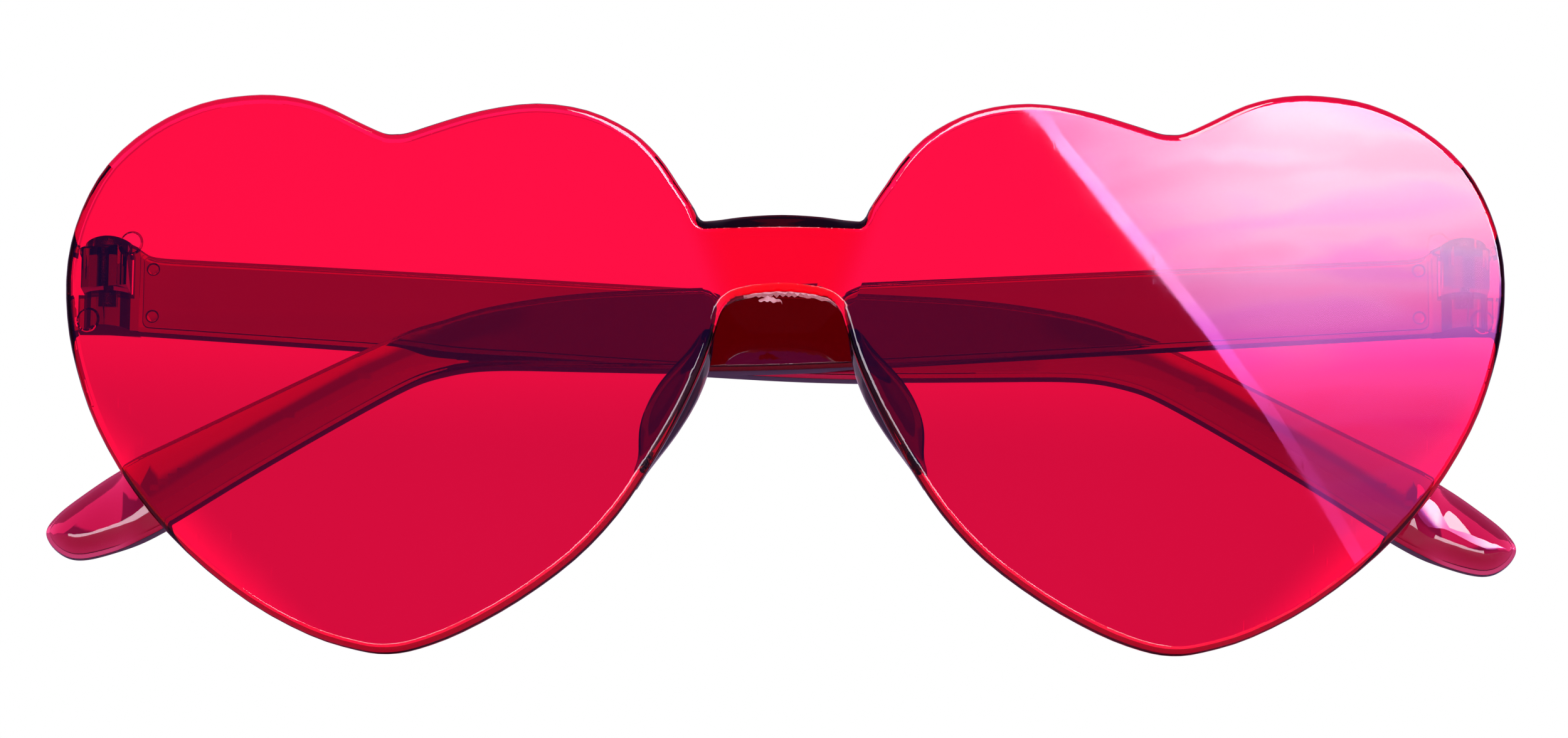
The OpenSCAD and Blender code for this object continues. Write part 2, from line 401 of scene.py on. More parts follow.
def colour_ramp(tree, factor, stops):
    """A ramp through sRGB hex colours, each at its place."""
    ramp = add(tree, "ValToRGB", [("Fac", factor)])
    elements = ramp.color_ramp.elements
    elements.remove(elements[1])
    for i, (place, hex_code) in enumerate(stops):
        stop = elements[0] if i == 0 else elements.new(place)
        stop.position = place
        stop.color = linear(hex_code)
    return ramp


def waves_per_metre(size_mm):
    return 1 / (size_mm * MM)


def clear_plastic(name, hex_code, thickness_mm, flow_mm, depth_mm, seed, painted_shade_hex="ffffff"):
    """Polycarbonate dyed in the mass and moulded in a polished tool. To the eye it is a clear
    jelly: colour deepens with depth and along edges, the surface is a hard bright gloss, and
    only slight flow waves, handling smears and hair scratches break its reflections. hex_code
    is what thickness_mm of it leaves of white. The last argument is a tint painted on every
    surface: white paints nothing, and the darker tints are painted shade on edges, pads, lugs
    and knuckles."""
    material, tree = new_material(name)
    spot = add(tree, "TexCoord").outputs["Object"]
    spot = add(tree, "Mapping", [("Vector", spot)], Location=(seed, 0, 0))
    flow = add(tree, "TexNoise", [("Vector", spot)],
               Scale=waves_per_metre(flow_mm), Detail=1.0, Roughness=0.4)
    smear = add(tree, "TexNoise", [("Vector", spot)],
                Scale=waves_per_metre(11), Detail=4.0, Roughness=0.6, Distortion=0.6)
    # Hair scratches are about 0.02 mm wide; these are 0.06 mm, the least that shows
    lean = add(tree, "Mapping", [("Vector", spot)], Rotation=(0.4, 1.1, 0.5), Scale=(1, 1, 0.12))
    hairs = add(tree, "TexNoise", [("Vector", lean)],
                Scale=waves_per_metre(0.5), Detail=2.0, Roughness=0.5)
    scratch = add(tree, "MapRange", [("Value", hairs)], From_Min=0.69, From_Max=0.74)
    waved = add(tree, "Bump", [("Height", flow)], Strength=0.35, Distance=depth_mm * MM)
    surface = add(tree, "Bump", [("Height", scratch), ("Normal", waved)],
                  Strength=0.1, Distance=0.004 * MM, invert=True)
    gloss = add(tree, "MapRange", [("Value", smear)],
                From_Min=0.35, From_Max=0.75, To_Min=0.006, To_Max=0.03)
    # The base colour is the painted shade tint, white where no shade is painted
    body = add(tree, "BsdfPrincipled", [("Roughness", gloss), ("Normal", surface)],
               Base_Color=linear(painted_shade_hex), IOR=1.585, Transmission_Weight=1.0)
    # Lamps shine through it and are tinted by its depth
    way = add(tree, "LightPath").outputs["Is Shadow Ray"]
    clear = add(tree, "BsdfTransparent")
    mix = add(tree, "MixShader", [(0, way), (1, body), (2, clear)])
    darkest = 0.003
    losses = [-math.log(max(c, darkest)) for c in linear(hex_code)[:3]]
    most = max(losses)
    dye = add(tree, "VolumeAbsorption", Density=most / (thickness_mm * MM),
              Color=(*(1 - loss / most for loss in losses), 1))
    add(tree, "OutputMaterial", [("Surface", mix), ("Volume", dye)])
    return material


def torn_plastic(name, hex_code, dark_hex):
    """The same plastic torn off at the mould's gate. Stress has turned it a chalky pink white
    that hides what is behind it, with a fibrous, matt break."""
    material, tree = new_material(name)
    spot = add(tree, "TexCoord").outputs["Object"]
    fibres = add(tree, "TexNoise", [("Vector", spot)],
                 Scale=waves_per_metre(0.3), Detail=3.0, Roughness=0.65)
    tint = add(tree, "Mix", [("Factor", fibres), ("A", linear(dark_hex)), ("B", linear(hex_code))],
               data_type="RGBA").outputs["Result"]
    torn = add(tree, "Bump", [("Height", fibres)], Strength=0.8, Distance=0.1 * MM)
    body = add(tree, "BsdfPrincipled", [("Base Color", tint), ("Normal", torn)],
               Roughness=0.6, IOR=1.585)
    add(tree, "OutputMaterial", [("Surface", body)])
    return material


def turned_steel(name, hex_code):
    """Stainless steel turned on a lathe and barrel polished: grey metal with fine rings that
    draw its highlights out along the screw."""
    material, tree = new_material(name)
    spot = add(tree, "TexCoord").outputs["Object"]
    # Tool marks are about 0.03 mm apart; these are 0.75 mm, so that they show. A wave
    # texture has 20 radians to the unit at a scale of 1.
    rings = add(tree, "TexWave", [("Vector", spot)], bands_direction="Z",
                Scale=waves_per_metre(0.754) * math.tau / 20, Distortion=0.4, Detail=2.0)
    grain = add(tree, "TexNoise", [("Vector", spot)], Scale=waves_per_metre(0.2))
    marks = add(tree, "Bump", [("Height", rings.outputs["Fac"])],
                Strength=0.2, Distance=0.01 * MM)
    gloss = add(tree, "MapRange", [("Value", grain)], To_Min=0.18, To_Max=0.34)
    body = add(tree, "BsdfPrincipled", [("Roughness", gloss), ("Normal", marks)],
               Base_Color=linear(hex_code), Metallic=1.0)
    add(tree, "OutputMaterial", [("Surface", body)])
    return material


# The front

def front_outline(sizes):
    """The front's outline, from the construction model's curved front surface."""
    bm = cad_copy("lens_front")
    axis_y = FRONT_LOW.y + sizes.curve_r

    def on_front(face):
        middle = face.calc_center_median()
        off = abs(math.hypot(middle.x, middle.y - axis_y) - sizes.curve_r)
        return face.normal.y < -0.9 and off < 0.15

    keep_faces(bm, on_front)
    return bm


def crossings(bm, axis, value):
    """Where an outline's edges pass a value on one axis, 0 for X or 2 for Z: their places on
    the other one."""
    other = 2 - axis
    found = []
    for e in bm.edges:
        a, b = (v.co for v in e.verts)
        if min(a[axis], b[axis]) <= value < max(a[axis], b[axis]):
            share = (value - a[axis]) / (b[axis] - a[axis])
            found.append(a[other] + (b[other] - a[other]) * share)
    return found


def nose_edge(bm, z):
    """Distance from the middle to the outline's nose edge at height z."""
    return min(x for x in crossings(bm, 2, z) if x > 0)


def arch_height(bm, x):
    """Height of the nose arch's edge at a distance from the middle."""
    return next(z for z in crossings(bm, 0, x) if -6 < z < 3)


def surface_y(sizes, x, inset=0):
    """Where the front's curved surface lies at x, for a wall inset from the front."""
    radius = sizes.curve_r - inset
    return FRONT_LOW.y + sizes.curve_r - math.sqrt(radius * radius - x * x)


def bridge_extra(sizes):
    """How much thicker than the lenses the bridge is."""
    return -2 * FRONT_LOW.y - sizes.wall


def bridge_line(sizes, bridge_top, z):
    """Half the width of the thick bridge at height z."""
    low, top = sizes.bridge_low_w / 2, sizes.bridge_top_w / 2
    return low + (top - low) * z / bridge_top


def bridge_rise(sizes, bridge_top, x, z):
    """How much thicker than the lenses the front is at a point."""
    outside = (abs(x) - bridge_line(sizes, bridge_top, z)) / sizes.bridge_ramp + 0.5
    return bridge_extra(sizes) * (1 - eased(outside))


def brow_drop(sizes, bridge_top, x, z, share):
    """How far a point near the bridge's top edge moves down. share is its place in the wall,
    from 0 at the front to 1 at the back. The front of the edge slopes, and what is behind the
    slope rises by the brow's lift. Both fade out towards the lenses, above and below."""
    slope_end = clamped((abs(x) - 0.49 * sizes.bridge_top_w) / 1.3)
    lift_end = clamped((abs(x) - 10) / 4)
    below = clamped((bridge_top + 0.4 - z) / 2)
    above = clamped((z - bridge_top - 0.5) / 3)
    slope = sizes.brow_slope * max(1 - share / 0.45, 0) * (1 - slope_end)
    return (slope - sizes.brow_lift * (1 - lift_end)) * (1 - below) * (1 - above)


def cut_into_strips(sizes, bm, bridge_top):
    """Cuts a flat slab where the front will bend: along both slopes beside the bridge, and in
    even columns and rows, which are offset so that none meets a corner of the outline."""
    ramp_cuts, column, row = 7, 2.0, 5.0
    lean = Vector((bridge_top, 0, (sizes.bridge_low_w - sizes.bridge_top_w) / 2))
    for mirror in (-1, 1):
        for i in range(ramp_cuts):
            place = sizes.bridge_ramp * (i / (ramp_cuts - 1) - 0.5)
            across = mirror * (sizes.bridge_low_w / 2 + place)
            cut(bm, (across, 0, 0), Vector((mirror * lean.x, 0, lean.z)).normalized())
    for i in range(-int(FRONT_HIGH.x / column), int(FRONT_HIGH.x / column) + 1):
        cut(bm, ((i + 0.37) * column, 0, 0), (1, 0, 0))
    for i in range(int(FRONT_LOW.z / row), int(FRONT_HIGH.z / row) + 1):
        cut(bm, (0, 0, (i + 0.29) * row), (0, 0, 1))


def lens_slab(sizes, bm):
    """Both lenses and the bridge, from the outline: thickened, its edges rounded, cut into
    strips and curved round the face. Its edges stand square to the curve."""
    smooth_outline(bm, cuts=2, rounds=4)
    bridge_top = min(v.co.z for v in bm.verts if abs(v.co.x) < 1 and v.co.z > 1)
    thicken(bm, sizes.wall)
    for side in (-1, 1):
        rims = [e for f in flat_faces(bm, side) for e in f.edges]
        round_edges(bm, rims, sizes.edge_r, segments=4)
    bmesh.ops.bisect_plane(bm, geom=everything(bm), dist=0.0005,
                           plane_co=(0, 0.5 * sizes.wall, 0), plane_no=(0, 1, 0))
    cut_into_strips(sizes, bm, bridge_top)
    for v in bm.verts:
        x, share = v.co.x, v.co.y / sizes.wall
        rise = bridge_rise(sizes, bridge_top, x, v.co.z)
        radius = sizes.curve_r - share * (sizes.wall + rise)
        turn = math.asin(x / sizes.curve_r)
        v.co.z -= brow_drop(sizes, bridge_top, x, v.co.z, share)
        v.co.x = radius * math.sin(turn)
        v.co.y = FRONT_LOW.y + sizes.curve_r - radius * math.cos(turn)
    return made_object("lens_front", bm)


def pad_section(sizes, root_x, reach, side_steps, rim_steps):
    """One closed ring of a nose pad, as (x, y): up its inner side, round the rim and back."""
    splay = sizes.group.pad_splay
    back = Vector((math.sin(splay), math.cos(splay)))
    out = Vector((math.cos(splay), -math.sin(splay)))
    root = Vector((root_x, surface_y(sizes, root_x, sizes.wall)))
    # The wall thins where the pad runs out
    wall = sizes.pad_t * min(0.2 + reach / 3.5, 1)
    half = wall / 2
    straight = max(reach - half, 0)

    def at(along, across):
        """A point of the pad, which bulges most a third of the way out."""
        share = max(along, 0) / sizes.pad_reach
        bulge = 27 / 4 * share * (1 - share) ** 2 * sizes.pad_crown * reach / sizes.pad_reach
        return root + back * along + out * (across - bulge)

    buried, inset = sizes.wall / 2, 0.2
    ring = [root + Vector((inset, -buried))]
    ring += [at(straight * i / side_steps, 0) for i in range(side_steps + 1)]
    for i in range(1, rim_steps):
        turn = math.pi * i / rim_steps
        ring.append(at(straight + min(half, reach) * math.sin(turn), half - half * math.cos(turn)))
    ring += [at(straight * i / side_steps, wall) for i in range(side_steps, -1, -1)]
    ring.append(root + Vector((inset + wall, -buried)))
    return ring


def nose_pad(sizes, outline, mirror):
    """A leaf-shaped fin: a ring drawn down the nose edge, its reach swelling and fading."""
    stations, side_steps, rim_steps = 40, 9, 6
    # The first and last rings stand a little inside the ends, where the pad has some reach
    ends = 0.012

    def ring_at(i):
        t = ends + (1 - 2 * ends) * i / stations
        z = -sizes.pad_drop - t * sizes.pad_l
        reach = sizes.pad_reach * math.sin(math.pi * t ** 0.78)
        section = pad_section(sizes, nose_edge(outline, z), reach, side_steps, rim_steps)
        return [Vector((mirror * p.x, p.y, z)) for p in section]

    bm = bmesh.new()
    first = ring_at(0)
    bmesh.ops.create_circle(bm, segments=len(first), radius=1)
    ring, edges = bm.verts[:], bm.edges[:]
    for v, place in zip(ring, first):
        v.co = place
    for i in range(1, stations + 1):
        made = bmesh.ops.extrude_edge_only(bm, edges=edges)["geom"]
        edges = only(BMEdge, made)
        order = {v: min(range(len(ring)), key=lambda k: (ring[k].co - v.co).length)
                 for v in only(BMVert, made)}
        ring = sorted(order, key=order.get)
        for v, place in zip(ring, ring_at(i)):
            v.co = place
    bmesh.ops.holes_fill(bm, edges=bm.edges)
    bmesh.ops.recalc_face_normals(bm, faces=bm.faces)
    return made_object("tool", bm)


# The upper knuckle's height and the play under it, as constructed
UPPER_KNUCKLE_H = 1.4
HINGE_PLAY = 0.05


def hinge_lug(sizes, mirror):
    """A lug's stem and its round end. It stands on the lens's back."""
    high = STACK_TOP - UPPER_KNUCKLE_H - HINGE_PLAY
    low = high - sizes.lug_h
    x = mirror * PIN.x
    root_y = surface_y(sizes, PIN.x, sizes.wall) - sizes.wall / 2
    stem = block((x - sizes.lug_r, root_y, low), (x + sizes.lug_r, PIN.y, high))
    end = cylinder(sizes.lug_r, (x, PIN.y, low), (x, PIN.y, high))
    lug = combine(stem, [end], "UNION")
    return combine(lug, [cylinder(sizes.bore_r, (x, PIN.y, low - 1), (x, PIN.y, high + 1))],
                   "DIFFERENCE")


def torn_gate(sizes, outline):
    """The strip that tore off under the bridge: a low ragged ridge and a curled flake, both
    whitened by the break."""
    bm = bmesh.new()
    middle, half_w, depth, height = 0.9, sizes.gate_w / 2, 1.3, 0.3
    place = Matrix.Translation((middle, -0.5, -height / 2))
    place = place @ Matrix.Diagonal((2 * half_w, depth, height, 1))
    bmesh.ops.create_cube(bm, size=1, matrix=place)
    bmesh.ops.subdivide_edges(bm, edges=bm.edges[:], cuts=30, use_grid_fill=True)
    for v in bm.verts:
        x, y = v.co.x, v.co.y
        end = min(abs(x - middle) / half_w, 1)
        lobes = math.sin(3.1 * x) * math.cos(7.3 * x + 2 * y)
        ragged = 0.45 + 0.45 * lobes + 0.3 * math.sin(11 * x + 4 * y)
        v.co.z *= max(ragged, 0.05) * (1 - end ** 3)
        v.co.y += 0.12 * math.sin(5 * x) + 0.06 * math.sin(17 * x)
        v.co.z += arch_height(outline, x) + 0.03
    flake = bmesh.ops.create_grid(bm, x_segments=28, y_segments=4, size=1)["verts"]
    for v in flake:
        along, across = v.co.x, v.co.y
        curl = max(along - 0.35, 0)
        half_h = 0.27 * max(1 - abs(along + 0.25) ** 1.4, 0.15) * (1 + 0.3 * math.sin(13 * along))
        v.co = Vector((-0.95 + 1.35 * along - 0.7 * curl * curl, -0.9 + 0.2 * across * along,
                       -0.72 - half_h * across - 0.1 * math.sin(5 * along) - 1.2 * curl * curl))
    faces = [f for f in bm.faces if all(v in flake for v in f.verts)]
    bmesh.ops.solidify(bm, geom=faces, thickness=0.06)
    return made_object("tool", bm)


def curve_normal(x, radius):
    """Which way the front's curved surface faces at x, towards the viewer."""
    lean = x / radius
    return Vector((lean, -math.sqrt(1 - lean * lean), 0))


def lens_normal(sizes, face, place):
    """The true normal of a face on the front's curved surfaces, or None on any other face."""
    level = curve_normal(face.center.x, sizes.curve_r).dot(face.normal)
    if abs(level) < math.cos(math.radians(1.2)):
        return None
    if level > 0:
        return curve_normal(place.x, sizes.curve_r)
    return -curve_normal(place.x, sizes.curve_r - sizes.wall)


def front_shade_slot(sizes, face):
    """Slot 0 for the lenses, the bridge, the nose arch and the hearts' top edges, 1 for the
    other edges, and 2 for the nose pads and hinge lugs. Slot 1 carries a dark surface tint,
    painted shade, and slot 2 a deeper one."""
    middle, normal = face.center, face.normal
    back = surface_y(sizes, middle.x, sizes.wall)
    if abs(middle.x) > PIN.x - sizes.lug_r - 0.1 and middle.y > back + 0.1:
        return 2
    if middle.y > back + bridge_extra(sizes) + 0.05:
        return 2
    level = curve_normal(middle.x, sizes.curve_r).dot(normal)
    top = normal.z > 0.35 and middle.z > 9
    arch = normal.z < 0 and abs(middle.x) < 7 and middle.z > -3.5
    return int(abs(level) < 0.87 and not top and not arch)


# How far the ejector marks on the front's back lie from the middle, and their heights
FRONT_MARKS = ((PIN.x - 2.9, 7.5), (PIN.x + 1.55, -0.4))
FRONT_MARK_DEPTH = 0.24


class SUNGLASSES_OT_front(bpy.types.Operator):
    """Build the front: lenses, bridge, nose pads and hinge lugs in one clear moulding"""
    bl_idname = "sunglasses.front"
    bl_label = "Front"

    def execute(self, context):
        sizes = Millimetres(context.scene.sunglasses.front)
        finishes = context.scene.sunglasses.finishes
        outline = front_outline(sizes)
        torn = torn_gate(sizes, outline)
        parts = [nose_pad(sizes, outline, mirror) for mirror in (-1, 1)]
        parts += [hinge_lug(sizes, mirror) for mirror in (-1, 1)]
        front = combine(lens_slab(sizes, outline), parts, "UNION")
        marks = []
        for x, z in FRONT_MARKS:
            for mirror in (-1, 1):
                place = (mirror * x, surface_y(sizes, x, sizes.wall), z)
                turn = mirror * math.asin(x / sizes.curve_r)
                marks.append(ejector_mark(sizes.mark_r, place, FRONT_MARK_DEPTH, 1, turn))
        combine(front, marks, "DIFFERENCE")
        finished(front, "lens_front_moulding",
                 exact=lambda face, place: lens_normal(sizes, face, place),
                 material=lambda face: front_shade_slot(sizes, face))
        # Slots 1 and 2 take darker surface tints: painted shade on the edges, and deeper painted
        # shade on the pads and lugs
        for part, painted_shade_hex in (("", "ffffff"), (" edge", finishes.edge), (" lug", finishes.lug)):
            front.data.materials.append(clear_plastic(
                "Front polycarbonate" + part, finishes.front, sizes.wall, flow_mm=14,
                depth_mm=0.01, seed=0.1, painted_shade_hex=painted_shade_hex))
        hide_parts("lens_front")
        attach(front, "front")
        gate = finished(torn, "torn_gate", sharp=math.radians(50))
        gate.data.materials.append(torn_plastic("Torn polycarbonate", finishes.torn,
                                                finishes.torn_dark))
        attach(gate, "front")
        return {"FINISHED"}


# The arms

# The two ejector marks on an arm: their distance from the hinge axis and their heights
ARM_MARKS_X = 4.7
ARM_MARKS_Z = (5.8, 0.75)
ARM_MARK_DEPTH = 0.15


def fold_turn(sizes):
    """The folded arms are turned alike from the line through both hinges."""
    return math.asin((sizes.thickness + sizes.gap) / (2 * PIN.x))


def arm_places(sizes):
    """Where each arm goes: from its own hinge axis, pointing along +X, to its place."""
    turn = Matrix.Rotation(fold_turn(sizes), 4, "Z")
    right = Matrix.Translation((-PIN.x, PIN.y, 0)) @ turn
    left = Matrix.Translation((PIN.x, PIN.y, 0)) @ turn @ Matrix.Scale(-1, 4, (1, 0, 0))
    return {"right_arm": right, "left_arm": left}


def arm_copy(sizes):
    """A copy of the construction's right arm with its hinge axis on Z."""
    bm = cad_copy("right_arm")
    bmesh.ops.transform(bm, matrix=arm_places(sizes)["right_arm"].inverted(), verts=bm.verts)
    return bm


def panel_y(sizes):
    """Where the top of the raised panel lies, on an arm's inner side."""
    return sizes.outset - sizes.thickness


def cut_square(bm, x, **cleared):
    """Cuts a mesh square at a distance from the hinge axis, clears one side of the cut and
    gives the cut's edges."""
    made = bmesh.ops.bisect_plane(bm, geom=everything(bm), dist=0.001, plane_co=(x, 0, 0),
                                  plane_no=(1, 0, 0), **cleared)
    return only(BMEdge, made["geom_cut"])


def close_cut(bm, rim):
    bmesh.ops.edgenet_fill(bm, edges=rim)
    bmesh.ops.recalc_face_normals(bm, faces=bm.faces)


def arm_outline(sizes, rounds):
    """The arm's smoothed outline from its flat outer face. It starts a little inside the hinge
    block, and its first edge stays where it is."""
    bm = arm_copy(sizes)
    keep_faces(bm, lambda f: f.normal.y > 0.999 and f.calc_center_median().y > sizes.outset - 0.05)
    cut_square(bm, sizes.block_end - 0.6, clear_inner=True)
    smooth_outline(bm, cuts=2, rounds=rounds, keep=lambda v: v.co.x < sizes.block_end - 0.59)
    return bm


def near_tip(x, tip):
    """How far a point is into the arm's tip: 0 up to 10.5 mm from the tip, 1 from 7 mm on."""
    return eased((x - tip + 10.5) / 3.5)


def arm_blade(sizes):
    """The arm past its hinge: a slab with rounded edges, thinner at its tip, where its inner
    side steps back. Its first end is buried in the hinge block."""
    bm = arm_outline(sizes, rounds=4)
    inner_y = panel_y(sizes) + sizes.panel_rise
    clearance = 0.02
    thicken(bm, sizes.outset - clearance - inner_y)
    bmesh.ops.translate(bm, vec=(0, inner_y, 0), verts=bm.verts)
    for side, radius in ((1, sizes.edge_r), (-1, sizes.step_r)):
        rims = [e for f in flat_faces(bm, side) for e in f.edges
                if max(v.co.x for v in e.verts) > sizes.block_end - 0.59]
        round_edges(bm, rims, radius, segments=4)
    tip = max(v.co.x for v in bm.verts)
    for i in range(33):
        cut(bm, (tip - 1.2 - i, 0, 0), (1, 0, 0))
    for v in bm.verts:
        if v.co.y < inner_y + sizes.step_r + 0.01:
            v.co.y += sizes.tip_hollow * near_tip(v.co.x, tip)
    close_cut(bm, cut_square(bm, sizes.block_end - 0.2, clear_inner=True))
    return made_object("tool", bm)


def arm_panel(sizes):
    """The panel raised on the arm's inner side, with round corners beside the hinge."""
    bm = arm_outline(sizes, rounds=6)
    panel = bm.faces[:]
    bmesh.ops.inset_region(bm, faces=panel, thickness=sizes.panel_inset, use_even_offset=True,
                           use_boundary=True)
    bmesh.ops.delete(bm, geom=[f for f in bm.faces if f not in panel], context="FACES")
    first = sizes.block_end + sizes.panel_inset
    cut_square(bm, first, clear_inner=True)
    bmesh.ops.dissolve_verts(bm, verts=[v for v in bm.verts if 0.01 < v.co.x - first < 0.9])
    corners = [v for v in bm.verts if v.co.x < first + 0.01]
    bmesh.ops.bevel(bm, geom=corners, offset=0.7, segments=6, profile=0.5, affect="VERTICES",
                    clamp_overlap=True, material=-1)
    outline = [[v.co.copy() for v in e.verts] for e in bm.edges]
    buried = sizes.tip_hollow + 0.4
    thicken(bm, sizes.panel_rise + buried)
    bmesh.ops.translate(bm, vec=(0, panel_y(sizes), 0), verts=bm.verts)
    rims = [e for f in flat_faces(bm, -1) for e in f.edges]
    round_edges(bm, rims, sizes.panel_rise * 0.8, segments=3)
    shape_ear_piece(sizes, bm, outline)
    return made_object("tool", bm)


def shape_ear_piece(sizes, bm, outline):
    """Crowns the panel along the ear piece. At the tip it sinks towards the panel's edge, the
    arm's end and one side, which leaves a low dome that leans."""
    tip = max(v.co.x for v in bm.verts)
    low = min(v.co.z for v in bm.verts)
    for i in range(52):
        cut(bm, (tip - 0.4 - (0.5 + i / 80) * i, 0, 0), (1, 0, 0))
    for i in range(46):
        cut(bm, (0, 0, low + 0.3 + 0.6 * i), (0, 0, 1))
    ends = [p for pair in outline for p in pair if p.x > tip - 8]
    middle = sum(ends, Vector()) / len(ends)
    for v in bm.verts:
        if v.co.y < panel_y(sizes) + 0.25:
            at_tip = near_tip(v.co.x, tip)
            ear = clamped((v.co.x - tip + 50) / 16)
            inside = min(edge_distance(v.co, outline) / (3 + 0.8 * at_tip), 1)
            swell = sizes.tip_crown * at_tip + sizes.ear_crown * ear * (1 - at_tip)
            v.co.y -= swell * (1 - (1 - inside) ** 2)
            past = (v.co.x - tip + 4) / 7
            across = 0.5 * (v.co.x - middle.x) + 0.87 * (v.co.z - middle.z)
            lean = 0.5 * clamped((across + 2.2) / 5) ** 1.3
            sunk = (1 - inside) ** 7 + 0.85 * past * past + lean
            v.co.y += sizes.tip_hollow * at_tip * sunk / (1 + sunk ** 4) ** 0.25


def hinge_block(sizes):
    """The fork at the arm's front end: knuckles, heel and dome as constructed."""
    bm = arm_copy(sizes)
    close_cut(bm, cut_square(bm, sizes.block_end, clear_outer=True))
    return made_object("hinge_block", bm)


def arm_shade_slot(sizes, face):
    """Slot 1 for the sides of the knuckles, the ejector marks' edges and the inner panel's
    lower edge, and 0 for the rest of the arm. Slot 1 carries a dark surface tint, painted
    shade."""
    middle, normal = face.center, face.normal
    if abs(normal.y) > 0.8:
        return 0
    if middle.x < sizes.block_end - 0.3:
        return 1
    if middle.y >= panel_y(sizes) + 0.3:
        return 0
    if any(math.hypot(middle.x - ARM_MARKS_X, middle.z - z) < sizes.mark_r + 0.3
           for z in ARM_MARKS_Z):
        return 1
    lower = (normal.z < -0.3 or normal.x < -0.3) and middle.x < 90
    return int(lower and middle.y <= panel_y(sizes) + 0.9 * sizes.panel_rise)


def flat_normal(face, place):
    """The true normal of a face on an arm's flat sides, or None on any other face."""
    if abs(face.normal.y) < 0.99999 or -0.4 < face.center.y < 2.5:
        return None
    return Vector((0, math.copysign(1, face.normal.y), 0))


class SUNGLASSES_OT_arms(bpy.types.Operator):
    """Build both folding arms, each a hinge fork with a long bent blade"""
    bl_idname = "sunglasses.arms"
    bl_label = "Arms"

    def execute(self, context):
        sizes = Millimetres(context.scene.sunglasses.arms)
        finishes = context.scene.sunglasses.finishes
        # The knuckle material's dark surface tint paints shade on the faces of slot 1
        plastics = [clear_plastic("Arm polycarbonate" + part, finishes.arms, sizes.thickness,
                                  flow_mm=9, depth_mm=0.03, seed=0.7, painted_shade_hex=painted_shade_hex)
                    for part, painted_shade_hex in (("", "ffffff"), (" knuckle", finishes.lug))]
        arm = combine(hinge_block(sizes), [arm_blade(sizes)], "UNION")
        combine(arm, [arm_panel(sizes)], "UNION")
        marks = []
        for z in ARM_MARKS_Z:
            place = (ARM_MARKS_X, panel_y(sizes), z)
            marks.append(ejector_mark(sizes.mark_r, place, ARM_MARK_DEPTH, -1))
        combine(arm, marks, "DIFFERENCE")
        for node, place in arm_places(sizes).items():
            piece = bpy.data.objects.new(node, arm.data.copy())
            context.scene.collection.objects.link(piece)
            finished(piece, node + "_moulding", place, exact=flat_normal,
                     material=lambda face: arm_shade_slot(sizes, face))
            for plastic in plastics:
                piece.data.materials.append(plastic)
            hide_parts(node)
            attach(piece, node)
        bpy.data.objects.remove(arm)
        return {"FINISHED"}


# The hinge screws

def hinge_screw(sizes):
    """A slotted screw on the Z axis, its head's top at zero, with a cut thread."""
    steps = 32
    low = -SCREW_L
    profile = [(0, 0), (HEAD_R - 0.12, 0), (HEAD_R - 0.03, -0.05), (HEAD_R, -0.14),
               (HEAD_R, -sizes.head_h), (sizes.shank_r, -sizes.head_h),
               (sizes.shank_r, low + sizes.thread_l + 0.15), (sizes.core_r, low + sizes.thread_l),
               (sizes.core_r, low + 0.2), (sizes.core_r - 0.15, low), (0, low)]
    bm = bmesh.new()
    points = [bm.verts.new((x, 0, z)) for x, z in profile]
    edges = [bm.edges.new(pair) for pair in zip(points, points[1:])]
    bmesh.ops.spin(bm, geom=points + edges, axis=(0, 0, 1), cent=(0, 0, 0), steps=steps,
                   angle=math.tau, use_merge=True)
    bmesh.ops.remove_doubles(bm, verts=bm.verts, dist=0.0005)
    bmesh.ops.recalc_face_normals(bm, faces=bm.faces)
    screw = made_object("hinge_screw", bm)
    slot = block((-HEAD_R - 1, -sizes.slot_w / 2, -sizes.slot_depth),
                 (HEAD_R + 1, sizes.slot_w / 2, 1))
    combine(screw, [slot], "DIFFERENCE")
    bm = bmesh.new()
    bm.from_mesh(screw.data)
    turns = int(sizes.thread_l / sizes.pitch) - 1
    foot, crest = sizes.core_r - 0.03, sizes.shank_r - 0.005
    start = low + 0.15
    ridge = [bm.verts.new(p) for p in ((foot, 0, start), (crest, 0, start + sizes.pitch * 0.4),
                                       (crest, 0, start + sizes.pitch * 0.5),
                                       (foot, 0, start + sizes.pitch * 0.9))]
    face = bm.faces.new(ridge)
    bmesh.ops.spin(bm, geom=[face], axis=(0, 0, 1), cent=(0, 0, 0), use_merge=False,
                   dvec=(0, 0, sizes.pitch / steps), steps=steps * turns,
                   angle=math.tau * turns)
    bmesh.ops.recalc_face_normals(bm, faces=bm.faces)
    bm.to_mesh(screw.data)
    bm.free()
    return screw


class SUNGLASSES_OT_screws(bpy.types.Operator):
    """Build the two steel hinge screws"""
    bl_idname = "sunglasses.screws"
    bl_label = "Hinge screws"

    def execute(self, context):
        sizes = Millimetres(context.scene.sunglasses.screws)
        steel = turned_steel("Turned stainless steel", context.scene.sunglasses.finishes.steel)
        screw = hinge_screw(sizes)
        for side, mirror, turn in (("left", 1, 0.5), ("right", -1, 1.3)):
            piece = bpy.data.objects.new(side, screw.data.copy())
            context.scene.collection.objects.link(piece)
            place = Matrix.Translation((mirror * PIN.x, PIN.y, SCREW_HIGH.z))
            finished(piece, side + "_screw", place @ Matrix.Rotation(turn, 4, "Z"))
            piece.data.materials.append(steel)
            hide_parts(side + "_hinge_screw")
            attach(piece, side + "_arm")
        bpy.data.objects.remove(screw)
        return {"FINISHED"}


# The stage

